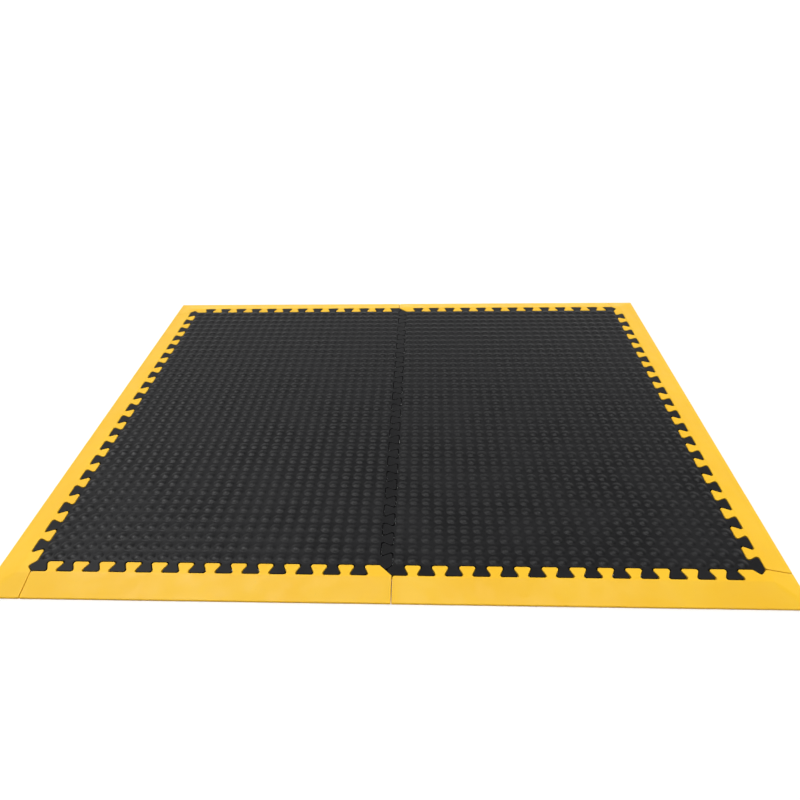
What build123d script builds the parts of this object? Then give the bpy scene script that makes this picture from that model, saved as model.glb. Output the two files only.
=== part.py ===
"""Interlocking anti-fatigue floor mat, in millimetres.

Two bubble-top foam tiles lie side by side and six ramped border strips close them in.
Every joint is a dovetail jigsaw edge that runs straight up and down, so a piece comes
out only by lifting. X runs along the mat's length, Y to the back, Z up from the floor.
The pattern on a tile turns round its corners: each side starts with a corner tooth and
ends with a gap, and each border strip starts at a corner tooth.
"""
import math
import os

from build123d import *

# ---- tile plan
TOOTH_PITCH = 43.0
TEETH_SHORT = 13                      # teeth along a 600 mm side
TEETH_LONG = 20                       # teeth along a 900 mm side
TOOTH_DEPTH = 20.0                    # root line to tip line
TOOTH_WIDE = 31.4                     # across a tooth's tip, before its corners are rounded
TOOTH_NECK = TOOTH_PITCH - TOOTH_WIDE
FIRST_TOOTH = TOOTH_PITCH / 4         # side's start to the corner tooth's centre
TOOTH_RADIUS = 3.6                    # rounding at tips and roots
JIGSAW_GAP = 1.2                      # air between any two locked pieces

# ---- tile section
CORE_THICKNESS = 10.0                 # closed-cell foam
SKIN_THICKNESS = 2.5                  # wear layer, below its bubbles
BUBBLE_PITCH = TOOTH_PITCH / 2        # in step with the teeth
BUBBLE_COLUMNS = 2 * TEETH_SHORT
BUBBLE_ROWS = 2 * TEETH_LONG
BUBBLE_RADIUS = 8.6                   # in plan, at the skin
BUBBLE_HEIGHT = 2.6

# ---- border strips
STRIP_THICKNESS = CORE_THICKNESS + SKIN_THICKNESS
RAMP_FLAT = 3.0                       # level part beyond the tip line
RAMP_WIDTH = 44.0                     # tip line to the outer edge
LIP_THICKNESS = 3.0                   # height of the outer edge
STRIP_CORNER_RADIUS = 3.0
BUTT_RADIUS = 0.8                     # plan corners where strips meet
CUTTER_SPARE = 20.0                   # how far the ramp cutters reach past the strips

TILE_X = TEETH_SHORT * TOOTH_PITCH    # between root lines
TILE_Y = TEETH_LONG * TOOTH_PITCH
TILE_STEP = TILE_X + TOOTH_DEPTH      # left edge of one tile to left edge of the next
MAT_LEFT = -(TILE_STEP + TILE_X) / 2  # outer root lines of the laid mat
MAT_FRONT = -TILE_Y / 2
HALF_LENGTH = -MAT_LEFT + TOOTH_DEPTH + RAMP_WIDTH
HALF_WIDTH = -MAT_FRONT + TOOTH_DEPTH + RAMP_WIDTH


def corner_teeth(count):
    """One side from its start corner, as (along, outward), up to the next corner."""
    half_depth = TOOTH_DEPTH / 2
    points = [(0, 0), (-half_depth, half_depth), (0, TOOTH_DEPTH)]
    for i in range(count):
        centre = FIRST_TOOTH + i * TOOTH_PITCH
        if i:
            points += [(centre - TOOTH_NECK / 2, 0), (centre - TOOTH_WIDE / 2, TOOTH_DEPTH)]
        points += [(centre + TOOTH_WIDE / 2, TOOTH_DEPTH), (centre + TOOTH_NECK / 2, 0)]
    return points


def on_side(point, corner, turns):
    """Plan position of an (along, outward) point on a side turned by quarter turns."""
    along, outward = point
    x, y = along, -outward
    for _ in range(turns):
        x, y = -y, x
    return corner[0] + x, corner[1] + y


def side_corner(tile_left, turns):
    """Start corner of one side of the tile whose left root line is at tile_left."""
    x = tile_left + (TILE_X if turns in (1, 2) else 0)
    y = MAT_FRONT + (TILE_Y if turns in (2, 3) else 0)
    return x, y


def inset(points, amounts):
    """Move each edge of a counter-clockwise polygon inwards; edge i starts at point i."""
    count = len(points)
    lines = []
    for i, (x, y) in enumerate(points):
        x2, y2 = points[(i + 1) % count]
        length = math.hypot(x2 - x, y2 - y)
        dx, dy = (x2 - x) / length, (y2 - y) / length
        lines.append((x - dy * amounts[i], y + dx * amounts[i], dx, dy))
    moved = []
    for i in range(count):
        x1, y1, dx1, dy1 = lines[i - 1]
        x2, y2, dx2, dy2 = lines[i]
        cross = dx1 * dy2 - dy1 * dx2
        step = ((x2 - x1) * dy2 - (y2 - y1) * dx2) / cross
        moved.append((x1 + dx1 * step, y1 + dy1 * step))
    return moved


def rounded_face(points, radii):
    """Flat face inside a polygon whose corners are rounded."""
    count = len(points)
    arcs = []
    for i, (x, y) in enumerate(points):
        before, after = points[i - 1], points[(i + 1) % count]
        unit = []
        for other in (before, after):
            length = math.hypot(other[0] - x, other[1] - y)
            unit.append(((other[0] - x) / length, (other[1] - y) / length))
        half = math.acos(unit[0][0] * unit[1][0] + unit[0][1] * unit[1][1]) / 2
        reach = radii[i] / math.tan(half)
        bx, by = unit[0][0] + unit[1][0], unit[0][1] + unit[1][1]
        scale = (radii[i] / math.sin(half) - radii[i]) / math.hypot(bx, by)
        start = (x + unit[0][0] * reach, y + unit[0][1] * reach)
        end = (x + unit[1][0] * reach, y + unit[1][1] * reach)
        arcs.append((start, (x + bx * scale, y + by * scale), end))
    edges = []
    for i, (start, middle, end) in enumerate(arcs):
        edges.append(Edge.make_three_point_arc(start, middle, end))
        edges.append(Edge.make_line(end, arcs[(i + 1) % count][0]))
    return Face(Wire(edges))


def tile_face(tile_left):
    """Plan outline of a tile, held back from its neighbours by half the jigsaw gap."""
    points = []
    for turns, count in enumerate((TEETH_SHORT, TEETH_LONG, TEETH_SHORT, TEETH_LONG)):
        corner = side_corner(tile_left, turns)
        points += [on_side(point, corner, turns) for point in corner_teeth(count)]
    points = inset(points, [JIGSAW_GAP / 2] * len(points))
    return rounded_face(points, [TOOTH_RADIUS] * len(points))


def strip_face(tile_left, turns, wraps_corner):
    """Plan outline of the border strip along one side of a tile."""
    count = TEETH_LONG if turns % 2 else TEETH_SHORT
    side = count * TOOTH_PITCH
    tip, outer = TOOTH_DEPTH, TOOTH_DEPTH + RAMP_WIDTH
    gap = JIGSAW_GAP / 2
    if wraps_corner:
        free = [((0, tip), gap, TOOTH_RADIUS), ((0, outer), 0, BUTT_RADIUS),
                ((side + outer, outer), 0, STRIP_CORNER_RADIUS),
                ((side + outer, 0), gap, BUTT_RADIUS), ((side + tip, 0), gap, BUTT_RADIUS),
                ((side + tip / 2, tip / 2), gap, TOOTH_RADIUS)]
    else:
        free = [((0, tip), gap, TOOTH_RADIUS), ((0, outer), 0, BUTT_RADIUS),
                ((side + tip, outer), gap, BUTT_RADIUS), ((side + tip, tip), gap, BUTT_RADIUS)]
    toothed = [(point, gap, TOOTH_RADIUS) for point in [(side, 0)] + corner_teeth(count)[:2:-1]]
    corners = free + toothed
    corner = side_corner(tile_left, turns)
    points = inset([on_side(c[0], corner, turns) for c in corners], [c[1] for c in corners])
    return rounded_face(points, [c[2] for c in corners])


def ramp_cutters():
    """One prism over each outer side of the mat, cutting the strips down to their lip."""
    cutters = []
    for turns in range(4):
        reach, far = (HALF_LENGTH, HALF_WIDTH) if turns % 2 else (HALF_WIDTH, HALF_LENGTH)
        start = reach - RAMP_WIDTH + RAMP_FLAT
        slope = (STRIP_THICKNESS - LIP_THICKNESS) / (reach - start)
        end, above = reach + CUTTER_SPARE, STRIP_THICKNESS + CUTTER_SPARE
        below = LIP_THICKNESS - slope * CUTTER_SPARE
        x = -far - CUTTER_SPARE
        profile = Polyline((x, -start, STRIP_THICKNESS), (x, -end, below), (x, -end, above),
                           (x, -start, above), close=True)
        prism = extrude(Face(Wire(profile.edges())), amount=-2 * x, dir=(1, 0, 0))
        cutters.append(prism.rotate(Axis.Z, 90 * turns))
    return cutters


def bubble_centres(tile_left):
    """Centres of the bubbles: a square grid that fills the tile inside its teeth."""
    first_x = tile_left + (TILE_X - (BUBBLE_COLUMNS - 1) * BUBBLE_PITCH) / 2
    first_y = -(BUBBLE_ROWS - 1) * BUBBLE_PITCH / 2
    return [(first_x + i * BUBBLE_PITCH, first_y + j * BUBBLE_PITCH)
            for j in range(BUBBLE_ROWS) for i in range(BUBBLE_COLUMNS)]


def bubble_cap():
    """Curved face of one bubble, its rim circle on the plane z = 0."""
    ball = (BUBBLE_RADIUS ** 2 + BUBBLE_HEIGHT ** 2) / (2 * BUBBLE_HEIGHT)
    drop = ball - BUBBLE_HEIGHT
    whole = Pos(0, 0, -drop) * Sphere(ball)
    cap = whole & Pos(0, 0, ball) * Box(4 * ball, 4 * ball, 2 * ball)
    return cap.faces().sort_by(Axis.Z)[-1]


def bubble_skin(tile_left):
    """Wear layer: a flat sheet with the tile's outline and solid bubbles on top."""
    sheet = extrude(Pos(0, 0, CORE_THICKNESS) * tile_face(tile_left), amount=SKIN_THICKNESS)
    top = sheet.faces().sort_by(Axis.Z)[-1]
    others = [face for face in sheet.faces() if abs(face.center().Z - top.center().Z) > 1e-3]
    cap = bubble_cap()
    rim = cap.edges().sort_by(Axis.Z)[0]
    caps, holes = [], []
    for x, y in bubble_centres(tile_left):
        place = Pos(x, y, STRIP_THICKNESS)
        caps.append(place * cap)
        holes.append(Wire([place * rim]))
    pierced = Face(top.outer_wire(), holes)
    return Solid(Shell(others + [pierced] + caps))


def main():
    lefts = {"left": MAT_LEFT, "right": MAT_LEFT + TILE_STEP}
    parts = {}
    for name, tile_left in lefts.items():
        parts[f"{name}_tile_core"] = extrude(tile_face(tile_left), amount=CORE_THICKNESS)
        parts[f"{name}_tile_skin"] = bubble_skin(tile_left)
    strips = {"front_left_strip": ("left", 0, False), "front_right_strip": ("right", 0, True),
              "right_strip": ("right", 1, True), "back_right_strip": ("right", 2, False),
              "back_left_strip": ("left", 2, True), "left_strip": ("left", 3, True)}
    cutters = ramp_cutters()
    for name, (tile, turns, wraps_corner) in strips.items():
        blank = extrude(strip_face(lefts[tile], turns, wraps_corner), amount=STRIP_THICKNESS)
        parts[name] = blank - cutters
    os.makedirs("parts", exist_ok=True)
    for name, shape in parts.items():
        export_step(shape, f"parts/{name}.step")
        print(name, round(shape.volume / 1000, 1), "cm3", len(shape.faces()), "faces")


main()
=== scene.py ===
"""Interlocking anti-fatigue mat: two bubble-top foam tiles and six ramped border strips.

Every piece is rebuilt over its CAD node with the small shapes that a moulded mat has:
rounded edges, flared bubbles, a soft crease where a ramp begins. Metres throughout.
"""
import math
import random

import bpy
import numpy as np
from mathutils import Matrix, Vector, geometry


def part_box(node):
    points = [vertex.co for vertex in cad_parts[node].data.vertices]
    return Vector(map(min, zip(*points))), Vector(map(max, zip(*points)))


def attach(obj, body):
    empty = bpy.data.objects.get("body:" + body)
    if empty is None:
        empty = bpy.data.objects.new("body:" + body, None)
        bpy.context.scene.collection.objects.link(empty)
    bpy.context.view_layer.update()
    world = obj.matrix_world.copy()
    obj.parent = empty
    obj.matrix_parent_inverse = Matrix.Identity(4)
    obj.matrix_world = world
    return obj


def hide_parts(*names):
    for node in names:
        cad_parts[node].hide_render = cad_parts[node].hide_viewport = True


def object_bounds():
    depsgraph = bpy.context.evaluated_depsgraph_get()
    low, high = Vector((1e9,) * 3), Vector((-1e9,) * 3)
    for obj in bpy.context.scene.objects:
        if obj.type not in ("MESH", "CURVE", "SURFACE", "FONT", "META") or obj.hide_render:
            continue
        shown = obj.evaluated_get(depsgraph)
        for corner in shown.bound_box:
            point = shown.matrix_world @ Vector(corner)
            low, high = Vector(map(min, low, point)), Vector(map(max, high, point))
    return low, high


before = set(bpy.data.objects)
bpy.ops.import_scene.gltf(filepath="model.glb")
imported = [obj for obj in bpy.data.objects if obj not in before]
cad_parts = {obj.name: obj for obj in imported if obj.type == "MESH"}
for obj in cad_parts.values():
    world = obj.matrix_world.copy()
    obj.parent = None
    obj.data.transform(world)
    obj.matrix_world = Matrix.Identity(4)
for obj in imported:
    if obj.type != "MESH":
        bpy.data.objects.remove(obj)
cad_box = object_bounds()
random.seed(7)
MM = 0.001

# ---- tile plan, as in the CAD model
TOOTH_PITCH = 43.0 * MM
TOOTH_DEPTH = 20.0 * MM
TOOTH_WIDE = 31.4 * MM                # across a tip, before its corners are rounded
TOOTH_NECK = TOOTH_PITCH - TOOTH_WIDE
FIRST_TOOTH = TOOTH_PITCH / 4
TOOTH_RADIUS = 3.6 * MM
HALF_GAP = 0.6 * MM
TEETH_SHORT = 13
TEETH_LONG = 20
RAMP_FLAT = 3.0 * MM
LIP_THICKNESS = 3.0 * MM
STRIP_CORNER_RADIUS = 3.0 * MM

# ---- bubbles
BUBBLE_PITCH = TOOTH_PITCH / 2
BUBBLE_COLUMNS = 2 * TEETH_SHORT
BUBBLE_ROWS = 2 * TEETH_LONG
BUBBLE_RADIUS = 8.6 * MM
BUBBLE_HEIGHT = 2.6 * MM
BUBBLE_FLARE = 0.6 * MM               # width of the hollow curve round its foot
BUBBLE_UNEVEN = 0.02                  # share by which heights differ
BUBBLE_FOOT = 0.08                    # share of its height at which the flare ends
# The wear share of each ring also sets how strongly the painted highlight on black bubble tops
# shows.
BUBBLE_RINGS = ((0.86, 0.1), (0.6, 0.5), (0.3, 0.9))    # share of its radius, wear
BUBBLE_SIDES = 15

# ---- small moulded shapes
TOP_RADIUS = 0.7 * MM                 # top edges of wear layers and strips
BOND_RADIUS = 0.25 * MM               # edges where foam and wear layer meet
FOOT_RADIUS = 0.4 * MM                # edges on the floor
BUTT_RADIUS = 0.8 * MM                # plan corners where strips meet
SHARPEST = 0.05 * MM
SHOULDER = 0.2 * MM                   # level ring that keeps shading flat inside an edge
CREASE_BLEND = 2.5 * MM               # half width of the curve at the top of a ramp

# ---- mesh detail
ARC_STEPS = 4                         # round a corner in plan
EDGE_STEPS = 3                        # round an edge in section
LONG_EDGE = 6.0 * MM                  # longest stretch of a strip's outline
GRID_STEP = 8.0 * MM                  # between points along a strip
GRID_CLEAR = 1.5 * MM                 # from a strip's outline to its inner points
RAMP_ROWS = 4                         # of points down a ramp, below its crease
MERGE_DISTANCE = 1e-7
INSIDE_ONLY = 2                       # triangulation that leaves holes open

# ---- materials
NOISE_ROUGHNESS = 0.55                # how much fine noise there is in every material

# ---- studio
FLOOR_HALF = 30.0
SUN_ENERGY = 0.845
SUN_SPREAD = 18                       # degrees across
SUN_LEAN_BACK = 10                    # degrees from the vertical
SUN_LEAN_SIDE = 17
SIDE_LIGHT_PLACE = (-1.1, 0.1, 1.5)
SIDE_LIGHT_TARGET = (-0.4, 0.0, 0.0)
SIDE_LIGHT_SIZE = 0.8
SIDE_LIGHT_POWER = 18
WORLD_DIM = 0.25
WORLD_BRIGHT = 1.35
WALL_FADES = (("Z", 0.60, 0.35), ("Y", -0.1, 0.5))      # direction: none of it, all of it
EYE = (0.0618, -1.0562, 0.7891)
LENS = 27.31
LOOK_DOWN = 35.86                     # degrees
LOOK_LEFT = 2.94
ROLL = -1.67

# ---- worked out from these and from the CAD frame
TILE_X = TEETH_SHORT * TOOTH_PITCH
TILE_Y = TEETH_LONG * TOOTH_PITCH
HALF_LENGTH, HALF_WIDTH = cad_box[1][0], cad_box[1][1]
RAMP_WIDTH = HALF_WIDTH - TILE_Y / 2 - TOOTH_DEPTH
CORE_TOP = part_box("left_tile_core")[1][2]
STRIP_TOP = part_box("left_strip")[1][2]
SIDES = ("left", "right")
TILE_LEFT = {side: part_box(f"{side}_tile_core")[0][0] + TOOTH_DEPTH - HALF_GAP for side in SIDES}


# ---------------------------------------------------------------- plan outlines
def corner_teeth(count):
    """One side from its start corner, as (along, outward), up to the next corner."""
    half_depth = TOOTH_DEPTH / 2
    points = [(0, 0), (-half_depth, half_depth), (0, TOOTH_DEPTH)]
    for i in range(count):
        centre = FIRST_TOOTH + i * TOOTH_PITCH
        if i:
            points += [(centre - TOOTH_NECK / 2, 0), (centre - TOOTH_WIDE / 2, TOOTH_DEPTH)]
        points += [(centre + TOOTH_WIDE / 2, TOOTH_DEPTH), (centre + TOOTH_NECK / 2, 0)]
    return points


def on_side(point, tile_left, turns):
    """Plan position of an (along, outward) point on a tile's side."""
    x, y = point[0], -point[1]
    for _ in range(turns):
        x, y = -y, x
    corner_x = tile_left + (TILE_X if turns in (1, 2) else 0)
    corner_y = (TILE_Y if turns in (2, 3) else 0) - TILE_Y / 2
    return corner_x + x, corner_y + y


def tile_corners(tile_left):
    """Corners of a tile's outline as (x, y, held back, radius), counter-clockwise."""
    corners = []
    for turns, count in enumerate((TEETH_SHORT, TEETH_LONG, TEETH_SHORT, TEETH_LONG)):
        corners += [(*on_side(point, tile_left, turns), HALF_GAP, TOOTH_RADIUS)
                    for point in corner_teeth(count)]
    return corners


def strip_corners(tile_left, turns, wraps_corner):
    """Corners of a border strip's outline, in the same form."""
    count = TEETH_LONG if turns % 2 else TEETH_SHORT
    side, tip, outer = count * TOOTH_PITCH, TOOTH_DEPTH, TOOTH_DEPTH + RAMP_WIDTH
    free = [((0, tip), HALF_GAP, TOOTH_RADIUS), ((0, outer), 0, BUTT_RADIUS)]
    if wraps_corner:
        free += [((side + outer, outer), 0, STRIP_CORNER_RADIUS),
                 ((side + outer, 0), HALF_GAP, BUTT_RADIUS),
                 ((side + tip, 0), HALF_GAP, BUTT_RADIUS),
                 ((side + tip / 2, tip / 2), HALF_GAP, TOOTH_RADIUS)]
    else:
        free += [((side + tip, outer), HALF_GAP, BUTT_RADIUS),
                 ((side + tip, tip), HALF_GAP, BUTT_RADIUS)]
    toothed = [(side, 0)] + corner_teeth(count)[:2:-1]
    corners = free + [(point, HALF_GAP, TOOTH_RADIUS) for point in toothed]
    return [(*on_side(point, tile_left, turns), gap, radius) for point, gap, radius in corners]


def edge_lines(corners, inset):
    """(x, y, dx, dy) of each edge of a polygon, held back by its gap and an inset."""
    lines = []
    for (x, y, gap, _), (x2, y2, _, _) in zip(corners, corners[1:] + corners[:1]):
        length = math.hypot(x2 - x, y2 - y)
        dx, dy = (x2 - x) / length, (y2 - y) / length
        away = gap + inset
        lines.append((x - dy * away, y + dx * away, dx, dy))
    return lines


def corner_arc(before, after, radius, inset):
    """Points of the rounding between two edge lines."""
    x1, y1, dx1, dy1 = before
    x2, y2, dx2, dy2 = after
    cross = dx1 * dy2 - dy1 * dx2
    step = ((x2 - x1) * dy2 - (y2 - y1) * dx2) / cross
    x, y = x1 + dx1 * step, y1 + dy1 * step
    side = 1 if cross > 0 else -1
    radius = max(radius - side * inset, SHARPEST)
    turn = math.atan2(cross, dx1 * dx2 + dy1 * dy2)
    reach = radius * abs(math.tan(turn / 2))
    centre_x = x - dx1 * reach - side * dy1 * radius
    centre_y = y - dy1 * reach + side * dx1 * radius
    start = math.atan2(-side * dx1, side * dy1)
    angles = [start + turn * k / ARC_STEPS for k in range(ARC_STEPS + 1)]
    return [(centre_x + radius * math.cos(a), centre_y + radius * math.sin(a)) for a in angles]


def outline(corners, inset, long_edge):
    """Closed loop of plan points; loops of the same corners match point for point."""
    lines = edge_lines(corners, inset)
    arcs = [corner_arc(lines[i - 1], lines[i], corner[3], inset)
            for i, corner in enumerate(corners)]
    loop = []
    for i, arc in enumerate(arcs):
        loop += arc
        (x, y), (x2, y2) = arc[-1], arcs[(i + 1) % len(arcs)][0]
        length = math.dist(corners[i][:2], corners[(i + 1) % len(corners)][:2])
        parts = max(1, math.ceil(length / long_edge))
        loop += [(x + (x2 - x) * k / parts, y + (y2 - y) * k / parts) for k in range(1, parts)]
    return loop


# ---------------------------------------------------------------- meshes
class Surface:
    """The vertices and faces of one piece while it is built."""

    def __init__(self):
        self.vertices = []
        # On the bubble crowns this also places a painted highlight in the black rubber.
        self.wear = []                # 0 in sheltered places, 1 where shoes and hands rub
        self.faces = []

    def point(self, x, y, z, wear=0.0):
        self.vertices.append((x, y, z))
        self.wear.append(wear)
        return len(self.vertices) - 1

    def loop(self, plan, height, drop=0.0, wear=0.0):
        return [self.point(x, y, height(x, y) - drop, wear) for x, y in plan]

    def band(self, lower, upper):
        for a, b, c, d in zip(lower, lower[1:] + lower[:1], upper[1:] + upper[:1], upper):
            self.faces.append((a, b, c, d))

    def fill(self, loops, height, upwards, points=(), edges=()):
        """Triangles inside the first loop and outside the others, through inner points."""
        known = [i for loop in loops for i in loop]
        rims = []
        for loop in loops:
            first = len(rims)
            rims += [(first + k, first + (k + 1) % len(loop)) for k in range(len(loop))]
        inner_edges = [(len(known) + a, len(known) + b) for a, b in edges]
        plan = [Vector(self.vertices[i][:2]) for i in known] + [Vector(p) for p in points]
        found = geometry.delaunay_2d_cdt(plan, rims + inner_edges, [], INSIDE_ONLY, MERGE_DISTANCE)
        places, triangles, originals = found[0], found[2], found[3]
        index = []
        for place, sources in zip(places, originals):
            if sources and sources[0] < len(known):
                index.append(known[sources[0]])
            else:
                index.append(self.point(place.x, place.y, height(place.x, place.y)))
        for a, b, c in triangles:
            self.faces.append((index[a], index[b], index[c]) if upwards
                              else (index[c], index[b], index[a]))

    def piece(self, name):
        mesh = bpy.data.meshes.new(name)
        mesh.from_pydata(self.vertices, [], self.faces)
        attribute = mesh.attributes.new("wear", "FLOAT", "POINT")
        attribute.data.foreach_set("value", self.wear)
        mesh.polygons.foreach_set("use_smooth", [True] * len(mesh.polygons))
        mesh.update()
        made = bpy.data.objects.new(name, mesh)
        bpy.context.scene.collection.objects.link(made)
        return made


def level(height):
    return lambda x, y: height


def sides(surface, corners, bottom, top, low_radius, top_radius, long_edge=math.inf):
    """Walls of a slab with rounded edges; returns its lowest and its highest loop."""
    quarter = [math.pi / 2 * k / EDGE_STEPS for k in range(EDGE_STEPS + 1)]
    rows = [(bottom, low_radius + SHOULDER, 0.0, 0.0)]
    rows += [(bottom, low_radius * (1 - math.sin(a)), -low_radius * (1 - math.cos(a)), 0.0)
             for a in quarter]
    rows += [(top, top_radius * (1 - math.cos(a)), top_radius * (1 - math.sin(a)), a / quarter[-1])
             for a in quarter]
    rows.append((top, top_radius + SHOULDER, 0.0, 0.0))
    loops = [surface.loop(outline(corners, inset, long_edge), height, drop, wear)
             for height, inset, drop, wear in rows]
    for lower, upper in zip(loops, loops[1:]):
        surface.band(lower, upper)
    return loops[0], loops[-1]


# ---------------------------------------------------------------- tiles
def bubble_rings():
    """(radius, height, wear) of a bubble's rings: a flared foot, then a part of a ball. On the
    black rubber the wear also paints a highlight on the crowns.
    """
    ball = (BUBBLE_RADIUS ** 2 + BUBBLE_HEIGHT ** 2) / (2 * BUBBLE_HEIGHT)
    rings = [(BUBBLE_RADIUS + BUBBLE_FLARE, 0.0, 0.0),
             (BUBBLE_RADIUS, BUBBLE_FOOT * BUBBLE_HEIGHT, 0.0)]
    for share, wear in BUBBLE_RINGS:
        radius = share * BUBBLE_RADIUS
        rings.append((radius, math.sqrt(ball ** 2 - radius ** 2) - ball + BUBBLE_HEIGHT, wear))
    return rings


def add_bubble(surface, x, y, rings):
    """One bubble on the wear layer; returns the loop at its foot."""
    rise = random.uniform(1 - BUBBLE_UNEVEN, 1)
    turns = [2 * math.pi * k / BUBBLE_SIDES for k in range(BUBBLE_SIDES)]
    loops = []
    for radius, height, wear in rings:
        plan = [(x + radius * math.cos(a), y + radius * math.sin(a)) for a in turns]
        loops.append(surface.loop(plan, level(STRIP_TOP + rise * height), 0.0, wear))
    for lower, upper in zip(loops, loops[1:]):
        surface.band(lower, upper)
    crown_wear_and_sheen = surface.point(x, y, STRIP_TOP + rise * BUBBLE_HEIGHT, 1.0)
    last = loops[-1]
    surface.faces += [(a, b, crown_wear_and_sheen) for a, b in zip(last, last[1:] + last[:1])]
    return loops[0]


def tile_skin(side):
    """Wear layer of a tile with its bubbles."""
    surface = Surface()
    corners = tile_corners(TILE_LEFT[side])
    low, high = sides(surface, corners, level(CORE_TOP), level(STRIP_TOP), BOND_RADIUS, TOP_RADIUS)
    surface.fill([low], level(CORE_TOP), upwards=False)
    rings = bubble_rings()
    first_x = TILE_LEFT[side] + (TILE_X - (BUBBLE_COLUMNS - 1) * BUBBLE_PITCH) / 2
    first_y = -(BUBBLE_ROWS - 1) * BUBBLE_PITCH / 2
    feet = [add_bubble(surface, first_x + i * BUBBLE_PITCH, first_y + j * BUBBLE_PITCH, rings)
            for j in range(BUBBLE_ROWS) for i in range(BUBBLE_COLUMNS)]
    surface.fill([high] + feet, level(STRIP_TOP), upwards=True)
    return surface.piece(f"{side}_tile_bubble_top")


def tile_core(side):
    """Foam body of a tile."""
    surface = Surface()
    corners = tile_corners(TILE_LEFT[side])
    low, high = sides(surface, corners, level(0.0), level(CORE_TOP), FOOT_RADIUS, BOND_RADIUS)
    surface.fill([low], level(0.0), upwards=False)
    surface.fill([high], level(CORE_TOP), upwards=True)
    return surface.piece(f"{side}_tile_foam")


# ---------------------------------------------------------------- border strips
def ramp_start(reach):
    """Distance from the mat's middle at which a ramp begins."""
    return reach - RAMP_WIDTH + RAMP_FLAT


def ramp_height(x, y):
    """Top of a strip: level beside the tiles, then sloping to the lip."""
    slope = (STRIP_TOP - LIP_THICKNESS) / (RAMP_WIDTH - RAMP_FLAT)
    lowest = STRIP_TOP
    for reach, distance in ((HALF_LENGTH, abs(x)), (HALF_WIDTH, abs(y))):
        past = distance - ramp_start(reach)
        fall = max(past, 0.0)
        if abs(past) < CREASE_BLEND:
            fall = (past + CREASE_BLEND) ** 2 / (4 * CREASE_BLEND)
        lowest = min(lowest, STRIP_TOP - slope * fall)
    return lowest


def grid_lines(reach):
    """Lines across the mat: close over each crease, a few on each ramp, even between."""
    start = ramp_start(reach)
    blend = [start + share * CREASE_BLEND for share in (-1, -0.5, 0, 0.5, 1)]
    run = (reach - blend[-1]) / RAMP_ROWS
    ramp = blend + [blend[-1] + run * k for k in range(1, RAMP_ROWS)]
    count = math.ceil(2 * blend[0] / GRID_STEP)
    middle = [blend[0] * (2 * k / count - 1) for k in range(1, count)]
    return [-distance for distance in reversed(ramp)] + middle + ramp


def clear_of(plan, loop, margin):
    """The points of a plan that lie inside a loop and further from it than margin."""
    points = np.array(plan)[:, None]
    start = np.array(loop)
    run = np.roll(start, -1, axis=0) - start
    offset = points - start
    share = np.clip((offset * run).sum(2) / (run ** 2).sum(1), 0, 1)
    distance = np.linalg.norm(offset - share[..., None] * run, axis=2).min(1)
    straddles = (offset[..., 1] < 0) != (offset[..., 1] < run[:, 1])
    turned = (run[:, 0] * offset[..., 1] - run[:, 1] * offset[..., 0]) * np.sign(run[:, 1]) > 0
    odd = (straddles & turned).sum(1) % 2 == 1
    return [point for point, keep in zip(plan, odd & (distance > margin)) if keep]


def ramp_grid(loop):
    """Inner points of a strip's top, and the edges that follow the hip of its corner."""
    low, high = np.min(loop, axis=0), np.max(loop, axis=0)
    across = [x for x in grid_lines(HALF_LENGTH) if low[0] < x < high[0]]
    along = [y for y in grid_lines(HALF_WIDTH) if low[1] < y < high[1]]
    start_x, start_y = ramp_start(HALF_LENGTH), ramp_start(HALF_WIDTH)
    plan = [(x, y) for x in across for y in along
            if max(abs(x) - start_x, abs(y) - start_y) > -CREASE_BLEND - SHARPEST]
    points = clear_of(plan, loop, GRID_CLEAR)
    hip = [i for i, (x, y) in enumerate(points)
           if abs(x) > start_x and abs(abs(x) - start_x - abs(y) + start_y) < SHARPEST]
    hip.sort(key=lambda i: abs(points[i][0]))
    return points, list(zip(hip, hip[1:]))


def border_strip(name, side, turns, wraps_corner):
    """Ramped strip along one side of a tile, with a mat corner if it wraps one."""
    surface = Surface()
    corners = strip_corners(TILE_LEFT[side], turns, wraps_corner)
    low, high = sides(surface, corners, level(0.0), ramp_height, FOOT_RADIUS, TOP_RADIUS, LONG_EDGE)
    surface.fill([low], level(0.0), upwards=False)
    points, hip = ramp_grid([surface.vertices[i][:2] for i in high])
    surface.fill([high], ramp_height, upwards=True, points=points, edges=hip)
    return surface.piece(f"{name}_moulded")


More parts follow.
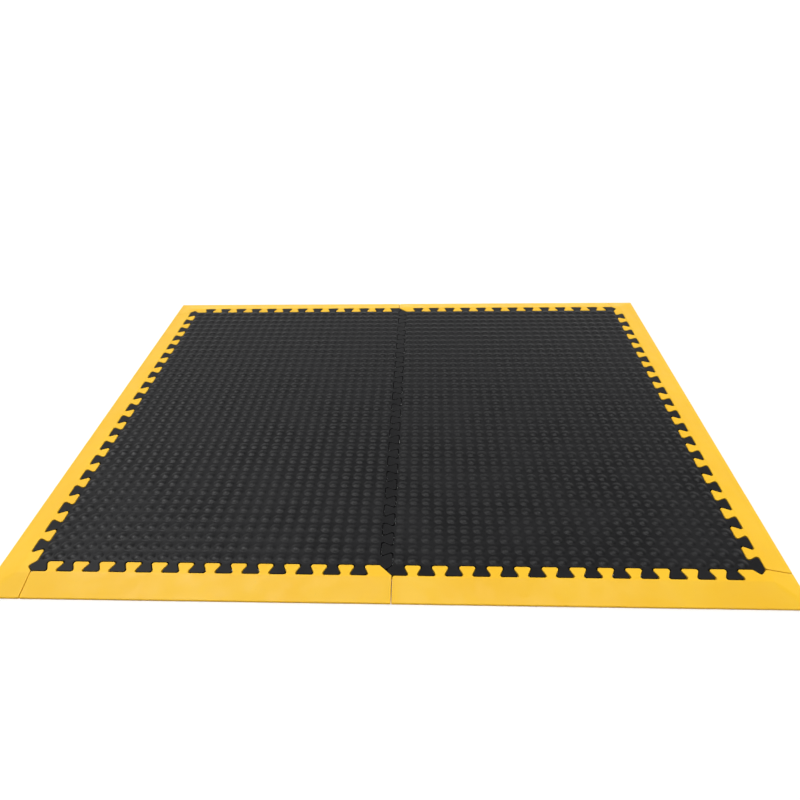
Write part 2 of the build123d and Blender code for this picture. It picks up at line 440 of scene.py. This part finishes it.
# ---------------------------------------------------------------- materials
class Recipe:
    """A Principled material and short ways to add the nodes that feed it."""

    def __init__(self, name, specular):
        self.material = bpy.data.materials.new(name)
        self.material.use_nodes = True
        self.tree = self.material.node_tree
        self.shader = self.tree.nodes["Principled BSDF"]
        self.shader.inputs["Specular IOR Level"].default_value = specular
        self.place = self.node("ShaderNodeTexCoord").outputs["Object"]

    def node(self, kind, **settings):
        made = self.tree.nodes.new(kind)
        for key, value in settings.items():
            setattr(made, key, value)
        return made

    def feed(self, target, value):
        if isinstance(value, bpy.types.NodeSocket):
            self.tree.links.new(value, target)
        else:
            target.default_value = value

    def stretched(self, x, y, z):
        """Object coordinates scaled along each axis."""
        made = self.node("ShaderNodeMapping")
        self.feed(made.inputs["Vector"], self.place)
        made.inputs["Scale"].default_value = (x, y, z)
        return made.outputs["Vector"]

    def noise(self, size, detail=3.0, vector=None):
        """Soft noise whose blotches are about size across."""
        made = self.node("ShaderNodeTexNoise")
        self.feed(made.inputs["Vector"], vector or self.place)
        made.inputs["Scale"].default_value = 1 / size
        made.inputs["Detail"].default_value = detail
        made.inputs["Roughness"].default_value = NOISE_ROUGHNESS
        return made.outputs["Fac"]

    def cells(self, size, feature="F1"):
        """Distance pattern of cells about size across."""
        made = self.node("ShaderNodeTexVoronoi", feature=feature)
        self.feed(made.inputs["Vector"], self.place)
        made.inputs["Scale"].default_value = 1 / size
        return made.outputs["Distance"]

    def attribute(self, name):
        return self.node("ShaderNodeAttribute", attribute_name=name).outputs["Fac"]

    def span(self, value, low, high, to_low=0.0, to_high=1.0):
        """Value between low and high, carried to the second range and held there."""
        made = self.node("ShaderNodeMapRange", interpolation_type="SMOOTHSTEP")
        self.feed(made.inputs["Value"], value)
        for name, number in (("From Min", low), ("From Max", high),
                             ("To Min", to_low), ("To Max", to_high)):
            self.feed(made.inputs[name], number)
        return made.outputs["Result"]

    def math(self, operation, a, b):
        made = self.node("ShaderNodeMath", operation=operation)
        self.feed(made.inputs[0], a)
        self.feed(made.inputs[1], b)
        return made.outputs[0]

    def blend(self, factor, a, b):
        """Colour between a and b."""
        made = self.node("ShaderNodeMix", data_type="RGBA")
        self.feed(made.inputs[0], factor)
        self.feed(made.inputs[6], a)
        self.feed(made.inputs[7], b)
        return made.outputs[2]

    def bump(self, height, depth, strength, under=None):
        made = self.node("ShaderNodeBump")
        made.inputs["Strength"].default_value = strength
        made.inputs["Distance"].default_value = depth
        self.feed(made.inputs["Height"], height)
        if under:
            self.feed(made.inputs["Normal"], under)
        return made.outputs["Normal"]

    def finish(self, colour, roughness, normal):
        self.feed(self.shader.inputs["Base Color"], colour)
        self.feed(self.shader.inputs["Roughness"], roughness)
        self.feed(self.shader.inputs["Normal"], normal)
        return self.material


def wear_layer_rubber():
    """Black satin rubber: fine grain, faint dust and scuffs, crowns rubbed smoother and painted
    paler, partly worn grey rubber and partly a painted highlight.
    """
    black, faded = (0.0066, 0.0066, 0.0072, 1), (0.0096, 0.0096, 0.0104, 1)
    # The paler crown colour is partly worn grey rubber and partly a painted highlight on the bubble
    # tops.
    crown_wear_and_sheen, scuff = (0.0140, 0.0140, 0.0150, 1), (0.025, 0.025, 0.027, 1)
    dust = (0.03, 0.029, 0.028, 1)
    recipe = Recipe("black_wear_layer", specular=0.11)
    worn = recipe.attribute("wear")
    clouds = recipe.noise(90 * MM, detail=5.0)
    colour = recipe.blend(recipe.span(clouds, 0.35, 0.7), black, faded)
    # Crowns and top edges are painted paler: worn rubber, and on the crowns also a painted
    # highlight.
    rubbed = recipe.math("MULTIPLY", worn, recipe.span(recipe.noise(14 * MM), 0.3, 0.75))
    colour = recipe.blend(rubbed, colour, crown_wear_and_sheen)
    specks = recipe.span(recipe.noise(1.3 * MM, detail=2.0), 0.70, 0.78, 0.0, 0.5)
    colour = recipe.blend(specks, colour, dust)
    scratches = recipe.noise(6 * MM, detail=2.0, vector=recipe.stretched(0.12, 2.2, 1))
    scuffs = recipe.math("MULTIPLY", recipe.span(scratches, 0.66, 0.74),
                         recipe.span(recipe.noise(160 * MM), 0.5, 0.65, 0.0, 0.35))
    colour = recipe.blend(scuffs, colour, scuff)
    roughness = recipe.span(rubbed, 0.0, 1.0, 0.42, 0.33)
    roughness = recipe.math("ADD", roughness, recipe.span(clouds, 0.3, 0.7, -0.04, 0.05))
    grain = recipe.bump(recipe.cells(0.9 * MM, "SMOOTH_F1"), 0.06 * MM, 0.5)
    uneven = recipe.bump(recipe.noise(35 * MM, detail=2.0), 0.5 * MM, 0.35, under=grain)
    return recipe.finish(colour, roughness, uneven)


def closed_cell_foam():
    """Dull charcoal foam with fine cells."""
    wall, pore, dust = (0.030, 0.030, 0.031, 1), (0.014, 0.014, 0.015, 1), (0.028, 0.027, 0.027, 1)
    recipe = Recipe("closed_cell_foam", specular=0.15)
    cells = recipe.cells(0.8 * MM)
    colour = recipe.blend(recipe.span(cells, 0.1, 0.7), wall, pore)
    clouds = recipe.span(recipe.noise(40 * MM), 0.35, 0.7, 0.0, 0.4)
    colour = recipe.blend(clouds, colour, dust)
    roughness = recipe.span(recipe.noise(3 * MM), 0.3, 0.7, 0.82, 0.94)
    pores = recipe.bump(cells, 0.25 * MM, 0.6)
    return recipe.finish(colour, roughness, recipe.bump(recipe.noise(8 * MM), 0.3 * MM, 0.3, pores))


def strip_rubber():
    """Safety-yellow moulded rubber: satin, slightly clouded, paler and duller where rubbed."""
    deep, light = (0.88, 0.495, 0.009, 1), (0.90, 0.530, 0.016, 1)
    pale, dirt = (0.88, 0.52, 0.08, 1), (0.42, 0.26, 0.06, 1)
    recipe = Recipe("yellow_border_rubber", specular=0.22)
    worn = recipe.attribute("wear")
    clouds = recipe.noise(120 * MM, detail=4.0)
    colour = recipe.blend(recipe.span(clouds, 0.3, 0.7), deep, light)
    rubbed = recipe.math("MULTIPLY", worn, recipe.span(recipe.noise(9 * MM), 0.4, 0.7, 0.0, 0.6))
    colour = recipe.blend(rubbed, colour, pale)
    grime = recipe.math("MULTIPLY", recipe.span(recipe.noise(2.2 * MM, detail=5.0), 0.60, 0.75),
                        recipe.span(recipe.noise(60 * MM), 0.45, 0.7, 0.0, 0.22))
    colour = recipe.blend(grime, colour, dirt)
    roughness = recipe.span(recipe.noise(25 * MM, detail=5.0), 0.3, 0.7, 0.42, 0.54)
    grain = recipe.bump(recipe.cells(1.1 * MM, "SMOOTH_F1"), 0.05 * MM, 0.35)
    uneven = recipe.bump(recipe.noise(50 * MM, detail=2.0), 0.5 * MM, 0.3, under=grain)
    return recipe.finish(colour, roughness, uneven)


def floor_paint():
    recipe = Recipe("studio_floor", specular=0.2)
    tint = recipe.blend(recipe.noise(900 * MM), (0.93, 0.93, 0.93, 1), (0.95, 0.95, 0.95, 1))
    return recipe.finish(tint, 0.7, recipe.bump(recipe.noise(2 * MM), 0.02 * MM, 0.2))


# ---------------------------------------------------------------- placing the pieces
def fit(piece, body, node, material):
    """Put a piece in place of its CAD node."""
    piece.data.materials.append(material)
    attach(piece, body)
    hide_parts(node)


def tiles():
    rubber, foam = wear_layer_rubber(), closed_cell_foam()
    for side in SIDES:
        fit(tile_skin(side), f"{side}_tile", f"{side}_tile_skin", rubber)
        core = tile_core(side)
        fit(core, f"{side}_tile", f"{side}_tile_core", foam)


def border():
    yellow = strip_rubber()
    for name, side, turns, wraps_corner in (
            ("front_left_strip", "left", 0, False), ("front_right_strip", "right", 0, True),
            ("right_strip", "right", 1, True), ("back_right_strip", "right", 2, False),
            ("back_left_strip", "left", 2, True), ("left_strip", "left", 3, True)):
        piece = border_strip(name, side, turns, wraps_corner)
        fit(piece, name, name, yellow)


# ---------------------------------------------------------------- studio
def floor():
    surface = Surface()
    surface.faces.append([surface.point(x * FLOOR_HALF, y * FLOOR_HALF, 0.0)
                          for x, y in ((-1, -1), (1, -1), (1, 1), (-1, 1))])
    plane = surface.piece("studio_floor")
    plane.data.materials.append(floor_paint())


def side_light():
    """Soft light over the left tile that only strengthens the highlights on its bubbles."""
    data = bpy.data.lights.new("left_side", "AREA")
    data.size = SIDE_LIGHT_SIZE
    data.energy = SIDE_LIGHT_POWER
    light = bpy.data.objects.new("left_side", data)
    light.location = SIDE_LIGHT_PLACE
    aim = Vector(SIDE_LIGHT_TARGET) - Vector(SIDE_LIGHT_PLACE)
    light.rotation_euler = aim.to_track_quat("-Z", "Y").to_euler()
    light.visible_diffuse = False
    bpy.context.scene.collection.objects.link(light)


def ceiling_row():
    """Even light from a row of wide far lights, a little behind the vertical."""
    for place, share in (("left", 1), ("middle", 0), ("right", -1)):
        data = bpy.data.lights.new(f"ceiling_{place}", "SUN")
        data.angle = math.radians(SUN_SPREAD)
        data.energy = SUN_ENERGY
        light = bpy.data.objects.new(f"ceiling_{place}", data)
        lean_left = share * SUN_LEAN_SIDE
        light.rotation_euler = (math.radians(-SUN_LEAN_BACK), math.radians(-lean_left), 0.0)
        bpy.context.scene.collection.objects.link(light)


def backdrop():
    """World light: dim overall, bright low down behind the mat, and plain white when seen."""
    world = bpy.data.worlds.new("studio")
    world.use_nodes = True
    nodes, links = world.node_tree.nodes, world.node_tree.links
    split = nodes.new("ShaderNodeSeparateXYZ")
    links.new(nodes.new("ShaderNodeTexCoord").outputs["Generated"], split.inputs["Vector"])
    wall = []
    for axis, low, high in WALL_FADES:
        span = nodes.new("ShaderNodeMapRange")
        span.interpolation_type = "SMOOTHSTEP"
        span.inputs["From Min"].default_value = low
        span.inputs["From Max"].default_value = high
        links.new(split.outputs[axis], span.inputs["Value"])
        wall.append(span.outputs["Result"])
    both = nodes.new("ShaderNodeMath")
    both.operation = "MULTIPLY"
    links.new(wall[0], both.inputs[0])
    links.new(wall[1], both.inputs[1])
    pale = nodes.new("ShaderNodeMath")
    pale.operation = "MAXIMUM"
    links.new(both.outputs[0], pale.inputs[0])
    links.new(nodes.new("ShaderNodeLightPath").outputs["Is Camera Ray"], pale.inputs[1])
    strength = nodes.new("ShaderNodeMapRange")
    strength.inputs["To Min"].default_value = WORLD_DIM
    strength.inputs["To Max"].default_value = WORLD_BRIGHT
    links.new(pale.outputs[0], strength.inputs["Value"])
    links.new(strength.outputs["Result"], nodes["Background"].inputs["Strength"])
    nodes["Background"].inputs["Color"].default_value = (1.0, 1.0, 1.0, 1)
    bpy.context.scene.world = world


def studio():
    floor()
    ceiling_row()
    backdrop()
    side_light()
    bpy.context.scene.view_settings.view_transform = "Standard"


def camera():
    """Eye height in front of the mat's middle, looking down and a little to the left."""
    data = bpy.data.cameras.new("camera")
    data.lens = LENS
    data.clip_end = 100.0
    eye = bpy.data.objects.new("camera", data)
    turn = (Matrix.Rotation(math.radians(LOOK_LEFT), 4, "Z")
            @ Matrix.Rotation(math.radians(90 - LOOK_DOWN), 4, "X")
            @ Matrix.Rotation(math.radians(ROLL), 4, "Z"))
    eye.matrix_world = Matrix.Translation(EYE) @ turn
    bpy.context.scene.collection.objects.link(eye)
    bpy.context.scene.camera = eye


tiles()
border()
studio()
camera()
